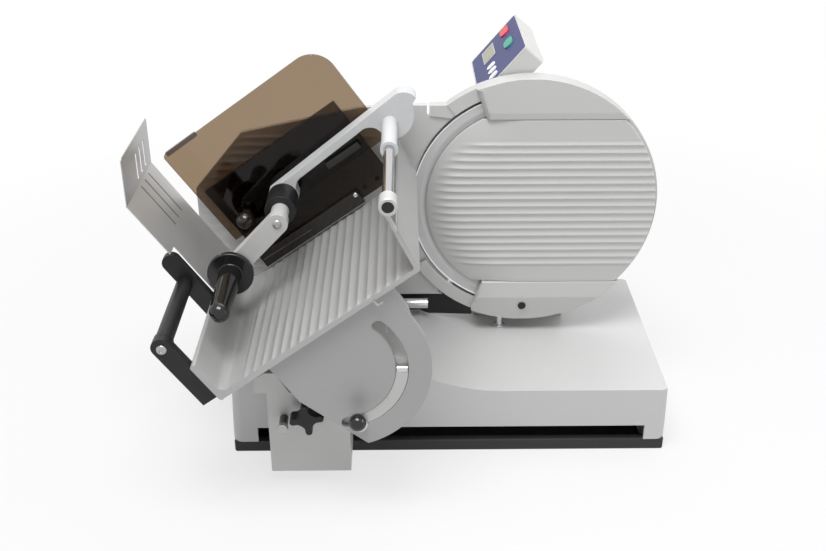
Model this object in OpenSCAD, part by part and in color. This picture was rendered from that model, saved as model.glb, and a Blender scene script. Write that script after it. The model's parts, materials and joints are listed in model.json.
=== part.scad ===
// Electric food slicer, millimetres, +Z up. The carriage runs along X, food is
// fed along +Y onto the upright blade. Origin: centre of the plinth's underside.

/* [Base] */
// width of the base at the plinth
base_w = 616; // [520:2:720]
// depth of the base, front to back
base_d = 328; // [300:2:400]
// height of the deck on the blade side
deck_z = 102; // [94:1:112]
// extra height of the deck under the gauge plate
hump_rise = 26; // [10:1:30]
// height of the black plinth
plinth_h = 18; // [12:1:19]
// wall of the base housing
base_wall = 5; // [3:0.5:8]
// height of the arm slot in the front of the base
slot_h = 23; // [22:1:28]

/* [Blade] */
// blade diameter
blade_d = 330; // [300:1:334]
// blade thickness
blade_t = 3.5; // [2.5:0.5:5]
// sideways place of the blade axis
blade_x = 113; // [90:1:130]
// height of the blade axis
blade_z = 311; // [300:1:330]
// plane of the cutting edge
blade_y = 8; // [6:0.5:12]
// diameter of the blade shaft
shaft_d = 25; // [18:1:30]
// radius of the ribbed blade cover
cover_r = 145; // [135:1:150]
// number of ribs on the blade cover
cover_ribs = 17; // [9:1:18]

/* [Gauge plate] */
// left end of the gauge plate
gauge_left = -360; // [-390:1:-330]
// lower edge of the gauge plate
gauge_bottom = 160; // [158:1:180]
// thickness of the gauge plate
gauge_t = 8; // [6:0.5:9]
// longest move of the gauge plate, the thickest slice
gauge_travel = 20; // [8:1:20]
// diameter of the thickness dial
dial_d = 76; // [50:1:84]

/* [Carriage] */
// longest stroke of the carriage
carriage_travel = 368; // [200:2:372]
// width of the carriage foot
foot_w = 108; // [96:1:116]
// diameter of the guide shaft in the base
guide_d = 24; // [18:1:26]
// diameter of the tilt pivot
pivot_d = 24; // [16:1:28]

/* [Food tray] */
// tilt of the tray in the pose of rest
tray_tilt = 35.5; // [34:0.5:37]
// length of the tray floor up the slope
tray_len = 293; // [284:1:300]
// depth of the tray, along the feed
tray_depth = 295; // [280:1:300]
// thickness of the tray floor
tray_t = 5; // [4:0.5:7]
// height of the low wall at the bottom of the slope
lip_h = 51; // [40:1:60]
// height of the wall at the top of the slope
wall_h = 52; // [46:1:56]
// number of ribs on the tray floor
tray_ribs = 17; // [9:1:17]
// depth of the fence, along the feed
fence_depth = 152; // [140:1:156]
// height of the fence up to its fold
fence_h = 223; // [204:1:226]

/* [Remnant holder] */
// diameter of the holder rod
rod_d = 14; // [10:0.5:15]
// longest slide of the holder along its rod
holder_travel = 100; // [40:1:104]
// length of the grip
grip_len = 109; // [90:1:112]
// thickness of the clear plates
plate_t = 3; // [2:0.5:3]

/* [Control panel] */
// length of the panel up its slope
panel_len = 98; // [90:1:110]
// width of the panel, front to back
panel_w = 170; // [150:1:180]
// thickness of the panel box
panel_t = 33; // [28:1:36]

/* [Fits] */
// radial gap of a running shaft in its bore
run_gap = 0.05; // [0.02:0.01:0.09]
// gap between pieces that pass each other
pass_gap = 0.4; // [0.3:0.05:0.6]
// gap around the carriage arm in its slot
slot_gap = 4; // [3:0.5:5]

/* [Hidden] */
$fn = 72;
hw = base_w / 2;
y_front = -base_d / 2;
y_back = base_d / 2;
hump_z = deck_z + hump_rise;
hump_x1 = 75;
hump_x0 = -40;
sweep_r = (pow(hump_x1 - hump_x0, 2) + pow(hump_rise, 2)) / (2 * hump_rise);
deck_t = 14;
floor_t = 4;
slot_z0 = plinth_h + 1;
blade_r = blade_d / 2;
guard_in = blade_r + 4;
guard_r = guard_in + 19;
guard_y0 = blade_y - 2;
guard_back = blade_y + 17;
guard_y1 = blade_y + 38;
guard_front = blade_y - 13;
cover_y0 = blade_y - 10;
seg_top = 129.5;
seg_low = 124;
tower_y1 = guard_y1 + 72;
belt_y0 = tower_y1 + 4;
belt_w = 16;
motor_z = floor_t + 44;
motor_r = 38;
pulley_s = 18;
pulley_l = 54;
gauge_y0 = blade_y + 3;
gauge_y1 = gauge_y0 + gauge_t;
carrier_y1 = gauge_y1 + 10;
dial_y = -6;
dial_z = plinth_h + 57;
cam_x = -hw + 68;
arm_z0 = slot_z0 + slot_gap;
arm_t = slot_h - 2 * slot_gap;
foot_x = -hw + 117;
foot_y0 = y_front - 73;
foot_y1 = y_front - 4;
guide_y = y_front + 54;
guide_z = plinth_h + 40;
slide_w = 100;
rail_y = guide_y + 54;
roller_r = 11;
rail_z = guide_z - roller_r;
vertex_x = foot_x - 99;
vertex_z = 198.6;
tray_y1 = -12;
tray_y0 = tray_y1 - tray_depth;
pivot_u = 131.7;
pivot_w = -62;
pivot_x = vertex_x + pivot_u * cos(tray_tilt) - pivot_w * sin(tray_tilt);
pivot_z = vertex_z + pivot_u * sin(tray_tilt) + pivot_w * cos(tray_tilt);
sector_r = 117;
sector_y0 = tray_y0 + 10;
sector_y1 = sector_y0 + 9;
slot_r = 80;
slot_w = 16;
lever_a = -72;
lever_x = pivot_x + slot_r * cos(lever_a);
lever_z = pivot_z + slot_r * sin(lever_a);
upright_y0 = sector_y1 + pass_gap;
wall_t = 5;
wall_lean = tan(8);
rod_u = tray_len + 24;
rod_w = wall_h + 34;
ring_d = rod_d + 8;
rear_lug = 6;
sleeve_d = rod_d + 7;
spigot_d = rod_d + 4;
arm_y1 = tray_y1 - 7;
arm_y0 = arm_y1 - 27;
sleeve_y0 = arm_y0 - 99;
hub_u = 134.5;
hub_w = 84.5;
hub_r = 21;
grip_u = 40.5;
grip_w = 65.5;
plate_b_y1 = arm_y1 + 2 + plate_t;
plate_a_y1 = plate_b_y1 + 1 + plate_t;
bush_y0 = arm_y0 - 46;
link_y0 = bush_y0 - 42;
link_y1 = link_y0 + 16;
flange_y0 = link_y0 - 8;
fence_t = 2.5;
fence_u = 3;
fence_step = 24;
fence_y1 = tray_y1 + 4;
fence_y0 = fence_y1 - fence_depth;
flange_h = 65;
bar_u = -22.5;
bar_w = 88;
bar_d = 22;
bracket_t = 12;
front_y0 = tray_y0 + 10;
rear_y0 = front_y0 + 163;
panel_x = 41.3;
panel_z = 460.9;
panel_a = 49.4;
panel_y0 = guard_back + 5;
panel_y1 = panel_y0 + panel_w;
silver = [0.72, 0.73, 0.74];
steel = [0.80, 0.81, 0.82];
chrome = [0.88, 0.89, 0.90];
black = [0.06, 0.06, 0.065];
smoke = [0.45, 0.36, 0.27, 0.55];
white = [0.90, 0.90, 0.90];

// one node, or "all"

// 2-D outline in (x, z), extruded along Y from y0 to y1
module slab_y(y0, y1) {
    translate([0, y1, 0])
        rotate([90, 0, 0])
            linear_extrude(y1 - y0)
                children();
}

// round bar along Y
module rod_y(x, z, y0, y1, d) {
    translate([x, y1, z])
        rotate([90, 0, 0])
            cylinder(d = d, h = y1 - y0);
}

// round bar along X
module rod_x(x0, x1, y, z, d) {
    translate([x0, y, z])
        rotate([0, 90, 0])
            cylinder(d = d, h = x1 - x0);
}

// box from corner to corner
module box(x0, x1, y0, y1, z0, z1) {
    translate([x0, y0, z0])
        cube([x1 - x0, y1 - y0, z1 - z0]);
}

// rectangle with round corners
module rrect(w, h, r) {
    square([w - 2 * r, h], center = true);
    square([w, h - 2 * r], center = true);
    for (sx = [-1, 1])
        for (sy = [-1, 1])
            translate([sx * (w / 2 - r), sy * (h / 2 - r)])
                circle(r = r);
}

// bar with round ends between two points of a plane
module link2d(x0, z0, x1, z1, w) {
    translate([x0, z0])
        rotate(atan2(z1 - z0, x1 - x0))
            translate([0, -0.498 * w])
                square([norm([x1 - x0, z1 - z0]), 0.996 * w]);
    translate([x0, z0])
        circle(d = w);
    translate([x1, z1])
        circle(d = w);
}

// the tilted frame of the tray: u up the slope, w square to the floor
module in_tray() {
    translate([vertex_x, 0, vertex_z])
        rotate([0, -tray_tilt, 0])
            children();
}

// front view of the base, i is the inset
module deck_profile(i, top) {
    difference() {
        polygon([[-hw + i, plinth_h - (i > 0 ? 1 : 0)], [hw - i, plinth_h - (i > 0 ? 1 : 0)],
            [hw - 5 - i, hump_z - top], [-hw + 5 + i, hump_z - top]]);
        translate([hump_x1, deck_z - top])
            square([base_w, hump_rise + 40]);
        intersection() {
            translate([hump_x0, deck_z - top])
                square([hump_x1 - hump_x0, hump_rise + 40]);
            translate([hump_x1, deck_z - top + sweep_r - 0.03])
                circle(r = sweep_r, $fn = 240);
        }
    }
}

module base_housing() {
    color(silver) {
        difference() {
            intersection() {
                slab_y(y_front, y_back)
                    deck_profile(0, 0);
                translate([0, 0, plinth_h])
                    linear_extrude(hump_z)
                        rrect(base_w, base_d, 14);
            }
            slab_y(y_front + base_wall, y_back - base_wall)
                deck_profile(base_wall, deck_t);
            box(-hw + 36, hw - 31, y_front - 1, y_front + base_wall + 1, slot_z0 - 2, slot_z0 + slot_h);
            box(blade_x - 42, blade_x + 42, belt_y0 - 4, belt_y0 + belt_w + 6, 40, 140);
            box(cam_x - 14, cam_x + 14, 2, carrier_y1 + gauge_travel + 6, 60, 160);
            rod_x(-hw - 1, -hw + 12, dial_y, dial_z, 12 + 2 * run_gap);
            rod_y(-hw + 98, plinth_h + 42, y_back - 8, y_back + 1, 22);
        }
        difference() {
            box(blade_x - 64, blade_x + 64, guard_y1 + 2, tower_y1 + 26, deck_z - deck_t, deck_z + 2);
            box(blade_x - 42, blade_x + 42, belt_y0 - 4, belt_y0 + belt_w + 6, 40, 140);
        }
    }
}

module base_plinth() {
    color(black)
        difference() {
            linear_extrude(plinth_h)
                rrect(base_w - 2, base_d - 2, 4);
            translate([0, 0, floor_t])
                linear_extrude(plinth_h)
                    rrect(base_w - 26, base_d - 26, 6);
        }
}

module guide_shaft() {
    color(chrome)
        rod_x(-hw + 14, hw - 14, guide_y, guide_z, guide_d);
}

module shaft_brackets() {
    color(silver)
        difference() {
            union() {
                box(-hw + 14, -hw + 30, guide_y - 22, guide_y + 22, floor_t, guide_z + 22);
                box(hw - 30, hw - 14, guide_y - 22, guide_y + 22, floor_t, guide_z + 22);
            }
            rod_x(-hw, hw, guide_y, guide_z, guide_d);
        }
}

module support_rail() {
    color(steel) {
        box(-hw + 40, hw - 40, rail_y - 4, rail_y + 4, floor_t + 4, rail_z - pass_gap);
        box(-hw + 40, hw - 40, rail_y - 12, rail_y + 12, floor_t, floor_t + 4);
    }
}

module tower_outline(r, w) {
    translate([blade_x, blade_z])
        circle(r = r);
    translate([blade_x - w, deck_z + 2])
        square([2 * w, blade_z - deck_z - 2]);
}

module blade_tower() {
    color(silver)
        difference() {
            union() {
                slab_y(guard_y1, tower_y1)
                    tower_outline(80, 70);
                rod_y(blade_x, blade_z, guard_back, guard_y1 + 1, 150);
            }
            rod_y(blade_x, blade_z, guard_back - 1, tower_y1 + 1, 52);
        }
}

module tower_cover() {
    color(silver)
        difference() {
            slab_y(tower_y1, tower_y1 + 29)
                tower_outline(74, 66);
            slab_y(tower_y1 - 1, tower_y1 + 25) {
                tower_outline(69, 61);
                translate([blade_x - 61, deck_z])
                    square([122, 40]);
            }
        }
}

module motor() {
    color([0.30, 0.31, 0.33])
        difference() {
            union() {
                rod_y(blade_x, motor_z, 0, belt_y0 - 8, 2 * motor_r);
                box(blade_x - 34, blade_x + 34, 16, belt_y0 - 20, floor_t, motor_z - 20);
            }
            rod_y(blade_x, motor_z, 18, belt_y0 - 28, 56);
            rod_y(blade_x, motor_z, 10, belt_y0, 14 + 2 * run_gap);
        }
}

// flat belt loop, grown outwards by g
module belt_loop(g) {
    rs = pulley_s + g;
    rl = pulley_l + g;
    a = asin((pulley_l - pulley_s) / (blade_z - motor_z));
    translate([blade_x, motor_z])
        circle(r = rs);
    translate([blade_x, blade_z])
        circle(r = rl);
    c = 0.996 * cos(a);
    translate([blade_x, 0])
        polygon([[rs * c, motor_z - rs * sin(a)], [rl * c, blade_z - rl * sin(a)],
            [-rl * c, blade_z - rl * sin(a)], [-rs * c, motor_z - rs * sin(a)]]);
}

module drive_belt() {
    color(black)
        slab_y(belt_y0 + 1, belt_y0 + belt_w - 1)
            difference() {
                belt_loop(pass_gap + 4);
                belt_loop(pass_gap);
            }
}

module blade_bearings() {
    color(steel)
        for (y = [guard_y1 + 4, tower_y1 - 19])
            difference() {
                rod_y(blade_x, blade_z, y, y + 15, 52);
                rod_y(blade_x, blade_z, y - 1, y + 16, shaft_d + 2 * run_gap);
            }
}

// wedge on the left of the blade where the food meets it
module food_gap(a, r) {
    polygon([[0, 0], [r * cos(180 - a), r * sin(180 - a)], [-r * 1.2, 0], [r * cos(180 + a), -r * sin(a)]]);
}

module blade_guard() {
    color(silver) {
        difference() {
            slab_y(guard_y0, guard_back)
                translate([blade_x, blade_z])
                    circle(r = guard_r, $fn = 180);
            rod_y(blade_x, blade_z, guard_y0 - 1, guard_back - 6, 2 * guard_in);
            rod_y(blade_x, blade_z, guard_y0 - 1, guard_back + 1, 110);
            slab_y(guard_y0 - 1, guard_back + 1)
                translate([blade_x, blade_z])
                    difference() {
                        food_gap(52, guard_r * 1.6);
                        circle(r = guard_in - 4);
                    }
        }
        difference() {
            slab_y(guard_y0 + 2, guard_back - 1)
                polygon([[blade_x - 140, blade_z + 132], [blade_x - 140, blade_z + 147],
                    [blade_x - 118, blade_z + 147], [blade_x - 74, blade_z + 171],
                    [blade_x - 40, blade_z + 120]]);
            rod_y(blade_x, blade_z, guard_y0 - 1, guard_back + 1, 2 * guard_in + 1);
        }
    }
}

module guard_segments() {
    color(silver) {
        slab_y(guard_front + 1, guard_y0)
            intersection() {
                translate([blade_x, blade_z])
                    circle(r = guard_r, $fn = 180);
                translate([blade_x, blade_z])
                    polygon([[-61, seg_top], [-76, seg_top + 42], [-76, 220], [220, 220], [220, seg_top]]);
            }
        intersection() {
            slab_y(guard_front - 2, guard_y0)
                translate([blade_x, blade_z])
                    intersection() {
                        circle(r = guard_r, $fn = 180);
                        polygon([[-60, -seg_low], [-76, -seg_low - 40], [-76, -220],
                            [220, -220], [220, -seg_low]]);
                    }
            translate([blade_x - 220, 0, blade_z])
                rotate([90, 0, 90])
                    linear_extrude(440)
                        polygon([[guard_y0, -seg_low], [cover_y0, -seg_low], [guard_front, -seg_low - 25],
                            [guard_front, -220], [guard_y0, -220]]);
        }
    }
}

// outline of the ribbed cover, less an edge of e
module cover_outline(e) {
    intersection() {
        union() {
            circle(r = cover_r - e, $fn = 180);
            intersection() {
                circle(r = guard_r - 4 - e, $fn = 180);
                translate([0, -220])
                    square([220, 440]);
            }
        }
        translate([-220, -seg_low + pass_gap + e])
            square([440, seg_low + seg_top - 2 * pass_gap - 2 * e]);
    }
}

module blade_cover() {
    rib_p = (seg_top + seg_low - 68) / (cover_ribs - 1);
    color(silver) {
        slab_y(cover_y0, guard_y0)
            translate([blade_x, blade_z])
                cover_outline(0);
        intersection() {
            slab_y(cover_y0 - 2, cover_y0)
                translate([blade_x, blade_z])
                    cover_outline(8);
            for (i = [0 : cover_ribs - 1])
                rod_x(blade_x - 200, blade_x + 200, cover_y0 + 5.9, blade_z - seg_low + 31 + i * rib_p, 15.8);
        }
    }
}

module guard_post() {
    color(chrome)
        difference() {
            union() {
                translate([blade_x - 31, 16, deck_z])
                    cylinder(d = 10, h = 40);
                translate([blade_x - 31, 16, deck_z])
                    cylinder(d = 17, h = 3);
            }
            rod_y(blade_x, blade_z, -20, 70, 2 * guard_r);
        }
}

module gauge_guides() {
    color(silver)
        for (x = [-hw + 98, -hw + 198])
            difference() {
                box(x - 18, x + 18, 62, 108, hump_z, hump_z + 62);
                rod_y(x, hump_z + 36, 60, 110, 16 + 2 * run_gap);
            }
}

module interlock_rod() {
    color(chrome)
        rod_x(-200, -28, 2, hump_z + 21, 15);
    color(silver)
        for (x = [-190, -100])
            difference() {
                box(x - 8, x + 8, -10, 8, hump_z, hump_z + 26);
                rod_x(-200, -28, 2, hump_z + 21, 15);
            }
}

// frame of the panel: x up its slope, z out of its face
module in_panel() {
    translate([panel_x, 0, panel_z])
        rotate([0, -panel_a, 0])
            children();
}

// round-ended key outline
module pill(l, w) {
    square([l - w, w], center = true);
    translate([l / 2 - w / 2, 0])
        circle(d = w);
    translate([w / 2 - l / 2, 0])
        circle(d = w);
}

// places of the keys on the panel: stop, start, then three small ones
key_pos = [[71.5, panel_y1 - 26], [72.5, panel_y1 - 88],
    [34, panel_y0 + 66], [34, panel_y0 + 45], [34, panel_y0 + 23]];
key_l = [30, 30, 16, 16, 16];
key_w = [17, 17, 12, 12, 12];
key_turn = [90, 90, 0, 0, 0];

module key_holes(g, z0, z1) {
    for (i = [0 : 4])
        translate([key_pos[i][0], key_pos[i][1], z0])
            linear_extrude(z1 - z0)
                rotate(key_turn[i])
                    pill(key_l[i] + 2 * g, key_w[i] + 2 * g);
}

module panel_key(i, h) {
    in_panel()
        translate([key_pos[i][0], key_pos[i][1], -5])
            linear_extrude(5 + h)
                rotate(key_turn[i])
                    pill(key_l[i], key_w[i]);
}

module panel_neck() {
    color(silver) {
        difference() {
            box(blade_x - 29, blade_x + 3, guard_y1 + 30, tower_y1, blade_z + 70, panel_z + 58);
            in_panel()
                translate([-100, 0, -panel_t])
                    cube([300, 400, 200]);
            rod_y(blade_x, blade_z, guard_y1, tower_y1 + 10, 160);
        }
    }
}

module panel_housing() {
    color(white)
        in_panel()
            difference() {
                translate([panel_len / 2, (panel_y0 + panel_y1) / 2, -panel_t])
                    linear_extrude(panel_t - 2)
                        rrect(panel_len, panel_w, 5);
                translate([5, panel_y0 + 5, -panel_t + 4])
                    cube([panel_len - 10, panel_w - 10, panel_t - 11]);
                key_holes(pass_gap, -8, 0);
            }
}

module panel_fascia() {
    color([0.20, 0.22, 0.55])
        in_panel()
            difference() {
                translate([panel_len / 2, (panel_y0 + panel_y1) / 2, -2])
                    linear_extrude(2)
                        rrect(panel_len - 4, panel_w - 4, 4);
                key_holes(pass_gap, -3, 1);
            }
}

module display_window() {
    color([0.45, 0.50, 0.48])
        in_panel()
            translate([23, panel_y1 - 73, 0])
                cube([24, 54, 0.8]);
}

module control_board() {
    color([0.10, 0.35, 0.18]) {
        box(-hw + 28, -hw + 178, 60, 140, floor_t + 6, floor_t + 8);
        for (x = [-hw + 34, -hw + 172])
            for (y = [66, 134])
                translate([x, y, floor_t])
                    cylinder(d = 7, h = 6);
        box(-hw + 58, -hw + 98, 80, 120, floor_t + 8, floor_t + 26);
    }
}

module mains_gland() {
    color(black)
        difference() {
            union() {
                rod_y(-hw + 98, plinth_h + 42, y_back - base_wall - 6, y_back, 22);
                rod_y(-hw + 98, plinth_h + 42, y_back, y_back + 14, 28);
            }
            rod_y(-hw + 98, plinth_h + 42, y_back - 20, y_back + 15, 10);
        }
}

module blade() {
    color(steel)
        translate([blade_x, blade_y, blade_z])
            rotate([-90, 0, 0])
                rotate_extrude($fn = 180)
                    polygon([[13, 1.2], [cover_r + 3, 1.2], [cover_r + 8, 0], [blade_r, 0], [blade_r, 0.3],
                        [blade_r - 12, blade_t], [13, blade_t]]);
}

module blade_shaft() {
    color(steel) {
        rod_y(blade_x, blade_z, blade_y + 1.2, belt_y0 + belt_w + 2, shaft_d);
        difference() {
            rod_y(blade_x, blade_z, blade_y + blade_t, blade_y + blade_t + 12, 92);
            rod_y(blade_x, blade_z, blade_y, blade_y + 30, shaft_d);
        }
    }
}

module blade_pulley() {
    color([0.35, 0.36, 0.38])
        difference() {
            rod_y(blade_x, blade_z, belt_y0, belt_y0 + belt_w, 2 * pulley_l);
            rod_y(blade_x, blade_z, belt_y0 - 1, belt_y0 + belt_w + 1, shaft_d);
        }
}

module motor_rotor() {
    color(steel) {
        rod_y(blade_x, motor_z, 12, belt_y0 + belt_w + 2, 14);
        rod_y(blade_x, motor_z, 24, belt_y0 - 34, 48);
        rod_y(blade_x, motor_z, belt_y0, belt_y0 + belt_w, 2 * pulley_s);
    }
}

module gauge_outline(e) {
    difference() {
        polygon([[gauge_left + e, gauge_bottom + 40], [gauge_left + 26 + e, gauge_bottom + e],
            [blade_x - 20, gauge_bottom + e], [blade_x - 20, blade_z + 147 - e], [-38 - e, blade_z + 147 - e],
            [-123, blade_z + 144 - e], [-290 + e, blade_z + 108 - e], [gauge_left + e, blade_z + 24]]);
        translate([blade_x, blade_z])
            circle(r = guard_in + e, $fn = 180);
        translate([blade_x, blade_z])
            difference() {
                circle(r = guard_r + 4 + e, $fn = 180);
                food_gap(49, guard_r * 1.6);
            }
        translate([blade_x - 144 - e, blade_z + 125 - e])
            square([200, 100]);
    }
}

module gauge_plate() {
    color(silver) {
        slab_y(gauge_y0, gauge_y1)
            gauge_outline(0);
        intersection() {
            slab_y(gauge_y0 - 2, gauge_y0)
                gauge_outline(6);
            for (z = [gauge_bottom + 12 : 12 : blade_z + 106])
                rod_x(gauge_left, blade_x, gauge_y0 + 6.5, z, 17);
        }
    }
}

module gauge_carrier() {
    color(silver) {
        box(-hw + 50, -hw + 224, gauge_y1, carrier_y1, gauge_bottom + 4, 290);
        box(cam_x - 6, cam_x + 6, gauge_y1, carrier_y1, dial_z - 8, gauge_bottom + 4);
        box(cam_x - 6, cam_x + 6, blade_y, gauge_y1, dial_z - 8, dial_z + 12);
    }
    color(chrome)
        for (x = [-hw + 98, -hw + 198])
            rod_y(x, hump_z + 36, carrier_y1, carrier_y1 + 90, 16);
}

module thickness_dial() {
    color(black)
        difference() {
            union() {
                rod_x(-hw - 40, -hw - 2, dial_y, dial_z, dial_d);
                rod_x(-hw - 43, -hw - 40, dial_y, dial_z, dial_d - 8);
            }
            for (a = [0 : 30 : 330])
                translate([0, (dial_d / 2 + 3) * cos(a), (dial_d / 2 + 3) * sin(a)])
                    rod_x(-hw - 50, -hw - 10, dial_y, dial_z, 12);
        }
}

module dial_spindle() {
    color(steel) {
        rod_x(-hw - 2, cam_x + 18, dial_y, dial_z, 12);
        difference() {
            rod_x(cam_x - 8, cam_x + 8, dial_y - gauge_travel / 2, dial_z, 40);
            rod_x(cam_x - 20, cam_x + 20, dial_y, dial_z, 12);
        }
    }
}

// flat of the carriage behind the sector
module upright_outline() {
    difference() {
        translate([pivot_x, pivot_z])
            circle(r = 98);
        translate([pivot_x - 200, pivot_z + 12])
            square([400, 200]);
        translate([pivot_x - 240, pivot_z - 200])
            square([200, 400]);
        translate([pivot_x - 240, pivot_z - 200])
            square([229, 150]);
        translate([pivot_x + 40, pivot_z - 200])
            square([200, 116]);
    }
}

// rib of the carriage that runs in the sector's slot, with a round end bar
module slot_rib() {
    slab_y(sector_y0 + 1, upright_y0 + 1)
        translate([pivot_x, pivot_z])
            intersection() {
                difference() {
                    circle(r = slot_r + slot_w / 2 - 0.5, $fn = 120);
                    circle(r = slot_r - slot_w / 2 + 0.5, $fn = 120);
                }
                polygon([[0, 0], [200 * cos(lever_a + 6), 200 * sin(lever_a + 6)],
                    [200 * cos(-3), 200 * sin(-3)]]);
            }
    rod_x(pivot_x + slot_r - 7, pivot_x + slot_r + 7, sector_y0 + 5, pivot_z - 1.6, 9);
}

module carriage_foot() {
    color(silver)
        difference() {
            union() {
                box(foot_x - foot_w / 2, foot_x + foot_w / 2, foot_y0, foot_y1, arm_z0, 151);
                box(pivot_x - 40, pivot_x + 60, foot_y0, foot_y1, 140, pivot_z + 12);
                slab_y(upright_y0, foot_y0 + 10)
                    upright_outline();
                slot_rib();
                slab_y(foot_y0, foot_y1)
                    polygon([[foot_x - 71, 150], [foot_x - 68, 172], [foot_x - 55, 181],
                        [foot_x - 42, 181], [foot_x - 23, 150]]);
            }
            rod_y(pivot_x, pivot_z, upright_y0 - 1, foot_y1 + 1, pivot_d);
            rod_y(lever_x, lever_z, upright_y0 - 1, foot_y1 + 1, 12 + 2 * run_gap);
            rod_y(foot_x, 128, foot_y0 - 1, foot_y0 + 22, 10 + 2 * run_gap);
        }
}

module carriage_arm() {
    color(silver)
        difference() {
            union() {
                box(foot_x - 40, foot_x + 40, foot_y1, guide_y + 22, arm_z0, arm_z0 + arm_t);
                box(foot_x - slide_w / 2, foot_x + slide_w / 2, guide_y - 22, guide_y + 22,
                    arm_z0 + arm_t - 1, guide_z + 23);
                rod_y(foot_x, guide_z, guide_y + 20, rail_y + 10, 8);
            }
            rod_x(foot_x - 60, foot_x + 60, guide_y, guide_z, guide_d + 8);
        }
}

module slide_bushes() {
    color([0.70, 0.58, 0.30])
        for (x = [foot_x - slide_w / 2, foot_x + slide_w / 2 - 28])
            difference() {
                rod_x(x, x + 28, guide_y, guide_z, guide_d + 8);
                rod_x(x - 1, x + 29, guide_y, guide_z, guide_d + 2 * run_gap);
            }
}

module support_roller() {
    color(black)
        difference() {
            rod_y(foot_x, guide_z, rail_y - 6, rail_y + 6, 2 * roller_r);
            rod_y(foot_x, guide_z, rail_y - 7, rail_y + 7, 8 + 2 * run_gap);
        }
}

module tilt_pivot() {
    color(chrome)
        rod_y(pivot_x, pivot_z, sector_y1 - 4.5, foot_y1 + 22, pivot_d);
}

module stop_bolt() {
    color(chrome) {
        rod_y(foot_x - 32.5, 111, foot_y0 - 20, foot_y0, 12);
        rod_y(foot_x - 32.5, 111, foot_y0 - 26, foot_y0 - 20, 15);
    }
}

module star_knob() {
    color(black) {
        slab_y(foot_y0 - 32, foot_y0 - 12)
            translate([foot_x, 128]) {
                difference() {
                    circle(r = 20);
                    for (a = [53 : 90 : 323])
                        rotate(a)
                            translate([28, 0])
                                circle(r = 17);
                }
                for (a = [8 : 90 : 278])
                    rotate(a)
                        link2d(0, 0, 18, 0, 9);
            }
        rod_y(foot_x, 128, foot_y0 - 12, foot_y0 - pass_gap, 20);
    }
    color(steel)
        rod_y(foot_x, 128, foot_y0 - pass_gap, foot_y0 + 21, 10);
}

module clamp_lever() {
    color(chrome) {
        rod_y(lever_x, lever_z, sector_y0 - pass_gap - 8, sector_y0 - pass_gap, 23);
        rod_y(lever_x, lever_z, sector_y0 - pass_gap, upright_y0 + 40, 12);
        difference() {
            translate([lever_x, sector_y0 - pass_gap - 7, lever_z])
                rotate([50.5, 0, 0])
                    cylinder(d = 8, h = 26);
            translate([lever_x, sector_y0 - pass_gap - 27, lever_z + 16.5])
                sphere(d = 22);
        }
    }
}

module clamp_ball() {
    color(black)
        translate([lever_x, sector_y0 - pass_gap - 27, lever_z + 16.5])
            sphere(d = 22);
}

// leaning wall at the top of the slope, between two heights
module lean_wall(w0, w1) {
    u0 = tray_len + w0 * wall_lean;
    u1 = tray_len + w1 * wall_lean;
    foot = w0 > 0 ? w0 : -tray_t;
    polygon([[u0, foot], [u0 + wall_t, foot], [u1 + wall_t, w1], [u1, w1], [u0, w0]]);
}

module tray() {
    rib_p = 230 / (tray_ribs - 1);
    color(silver)
        in_tray()
            difference() {
                union() {
                    slab_y(tray_y0, tray_y1) {
                        difference() {
                            union() {
                                translate([-4, -tray_t])
                                    square([tray_len + wall_t + 4, tray_t]);
                                translate([-8, -5])
                                    square([8, lip_h + 1]);
                                translate([-4, -5])
                                    circle(r = 4);
                                translate([-4, lip_h - 4])
                                    circle(r = 4);
                                lean_wall(0, wall_h);
                                square([12, 12]);
                                translate([tray_len - 5, 0])
                                    square([6, 5]);
                            }
                            translate([12, 12])
                                circle(r = 12);
                            translate([tray_len - 5, 5])
                                circle(r = 5);
                        }
                    }
                    intersection() {
                        slab_y(tray_y0 + 2, tray_y1 - 2)
                            translate([26, 0])
                                square([tray_len - 37, 10]);
                        for (i = [0 : tray_ribs - 1])
                            rod_y(38 + i * rib_p, -10.8, tray_y0, tray_y1, 25.2);
                    }
                    slab_y(tray_y0 - 12, tray_y0 + 12)
                        translate([rod_u, rod_w])
                            circle(d = ring_d);
                    slab_y(tray_y0, tray_y0 + 12)
                        lean_wall(wall_h - 12, rod_w - 4);
                    slab_y(tray_y1 - rear_lug, tray_y1) {
                        lean_wall(wall_h - 12, rod_w - 4);
                        translate([rod_u, rod_w])
                            circle(d = ring_d);
                    }
                }
                rod_y(rod_u, rod_w, tray_y0 - 20, tray_y1 + 20, rod_d);
                rod_y(rod_u, rod_w, tray_y0 - 20, tray_y0 - 8, 16);
            }
}

// the curved slot of the sector, seen from the front
module sector_slot() {
    translate([pivot_u, pivot_w])
        rotate(-tray_tilt) {
            intersection() {
                difference() {
                    circle(r = slot_r + slot_w / 2, $fn = 120);
                    circle(r = slot_r - slot_w / 2, $fn = 120);
                }
                polygon([[0, 0], [200 * cos(-82), 200 * sin(-82)], [300, -100], [300, 100],
                    [200 * cos(50), 200 * sin(50)]]);
            }
            for (a = [-82, 50])
                translate([slot_r * cos(a), slot_r * sin(a)])
                    circle(d = slot_w);
        }
}

// quarter-round plate, carried on straight to the tray at its upper right
module tray_sector() {
    color(silver)
        in_tray()
            difference() {
                union() {
                    slab_y(sector_y0, sector_y1)
                        intersection() {
                            translate([pivot_u, pivot_w])
                                circle(r = sector_r, $fn = 180);
                            polygon([[65, -tray_t], [65, -72], [99, -181], [260, -181], [260, -tray_t]]);
                        }
                    slab_y(sector_y0, sector_y1)
                        polygon([[190, -tray_t], [254, -tray_t], [254, -40], [236, -90], [190, -60]]);
                }
                slab_y(sector_y0 - 1, sector_y1 + 1)
                    sector_slot();
                rod_y(pivot_u, pivot_w, sector_y1 - 5, sector_y1 + 1, pivot_d + 2 * run_gap);
            }
}

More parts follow.
